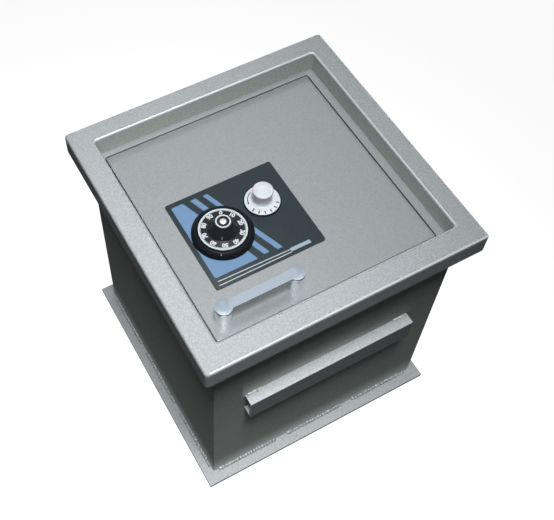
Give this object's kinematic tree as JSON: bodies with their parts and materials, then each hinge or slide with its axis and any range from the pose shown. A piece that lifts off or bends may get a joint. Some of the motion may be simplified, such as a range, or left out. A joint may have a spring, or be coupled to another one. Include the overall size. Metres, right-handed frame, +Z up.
{
  "type": "floor safe",
  "caption": "Square in-floor safe with a recessed hinged door, combination dial, bolt knob, pull handle and a channel that keys it into concrete.",
  "frame": {"origin": "middle of the underside of the base plate, on the floor it stands on", "axes": "+X to the right along the front edge (the handle's side), +Y to the back (the hinge's side), +Z up out of the recess"},
  "size_m": [0.4, 0.4, 0.41],
  "materials": {
    "painted_steel": "grey hammer paint, satin gloss",
    "galvanised": "zinc plated, dull",
    "weld": "weld metal, painted over",
    "steel": "bright turned",
    "chrome": "polished",
    "brass": "machined",
    "die_cast": "zinc die casting, smooth",
    "dark_plastic": "black, semi-gloss",
    "white_plastic": "white, gloss",
    "printed_plate": "printed slate grey with pale blue bands"
  },
  "bodies": {
    "safe": {"base_plate": "painted_steel", "body_shell": "painted_steel", "foot_welds": "weld", "top_frame": "painted_steel", "door_ledge": "painted_steel", "door_seat": "painted_steel", "anchor_channel": "painted_steel", "channel_welds": "weld", "hinge_pins": "steel"},
    "door": {"door_plate": "painted_steel", "lock_plate": "printed_plate", "dial_ring": "dark_plastic", "ring_screws": "steel", "spindle_tube": "brass", "lock_case": "die_cast", "lock_cover": "die_cast", "lock_screws": "steel", "wheel_post": "brass", "wheel_spacers": "brass", "post_clip": "steel", "knob_bush": "brass", "knob_bezel": "dark_plastic", "bolt_guides": "galvanised", "carrier_screws": "steel", "handle_bar": "chrome", "handle_posts": "chrome", "handle_screws": "steel"},
    "dial": {"dial": "dark_plastic", "dial_cap": "chrome", "spindle": "steel", "drive_cam": "brass", "cam_nut": "steel"},
    "wheel_1": {"wheel_1": "brass"},
    "wheel_2": {"wheel_2": "brass"},
    "wheel_3": {"wheel_3": "brass"},
    "lock_bolt": {"lock_bolt": "brass", "lock_lever": "steel", "lever_screw": "steel"},
    "knob": {"open_knob": "white_plastic", "knob_cap": "white_plastic", "knob_shaft": "steel", "crank": "steel", "drive_pin": "steel", "cross_pin": "steel"},
    "boltwork": {"bolt_carrier": "galvanised", "bolt_bar": "galvanised", "stop_tab": "galvanised", "locking_bolts": "steel", "bolt_screws": "steel"}
  },
  "joints": [
    {"name": "door_hinge", "type": "hinge", "parent": "safe", "child": "door", "pos_m": [0, 0.144, 0.374], "axis": [-1, 0, 0], "range_deg": [0, 100]},
    {"name": "dial_turn", "type": "hinge", "parent": "door", "child": "dial", "pos_m": [-0.0805, -0.0225, 0.38], "axis": [0, 0, 1], "continuous": true},
    {"name": "wheel_1_turn", "type": "hinge", "parent": "door", "child": "wheel_1", "pos_m": [-0.0805, -0.0225, 0.368], "axis": [0, 0, 1], "continuous": true},
    {"name": "wheel_2_turn", "type": "hinge", "parent": "door", "child": "wheel_2", "pos_m": [-0.0805, -0.0225, 0.368], "axis": [0, 0, 1], "continuous": true},
    {"name": "wheel_3_turn", "type": "hinge", "parent": "door", "child": "wheel_3", "pos_m": [-0.0805, -0.0225, 0.368], "axis": [0, 0, 1], "continuous": true},
    {"name": "lock_bolt_slide", "type": "slide", "parent": "door", "child": "lock_bolt", "axis": [1, 0, 0], "range_m": [0, 0.009]},
    {"name": "bolts_slide", "type": "slide", "parent": "door", "child": "boltwork", "axis": [0, -1, 0], "range_m": [0, 0.018]},
    {"name": "knob_turn", "type": "hinge", "parent": "door", "child": "knob", "pos_m": [-0.011, -0.0025, 0.38], "axis": [0, 0, 1], "range_deg": [-80, 0]}
  ],
  "couplings": [
    {"joint": "wheel_1_turn", "follows": "dial_turn", "ratio": 1},
    {"joint": "wheel_2_turn", "follows": "dial_turn", "ratio": 1},
    {"joint": "wheel_3_turn", "follows": "dial_turn", "ratio": 1},
    {"joint": "knob_turn", "follows": "bolts_slide", "rad_per_m": -77.57}
  ]
}
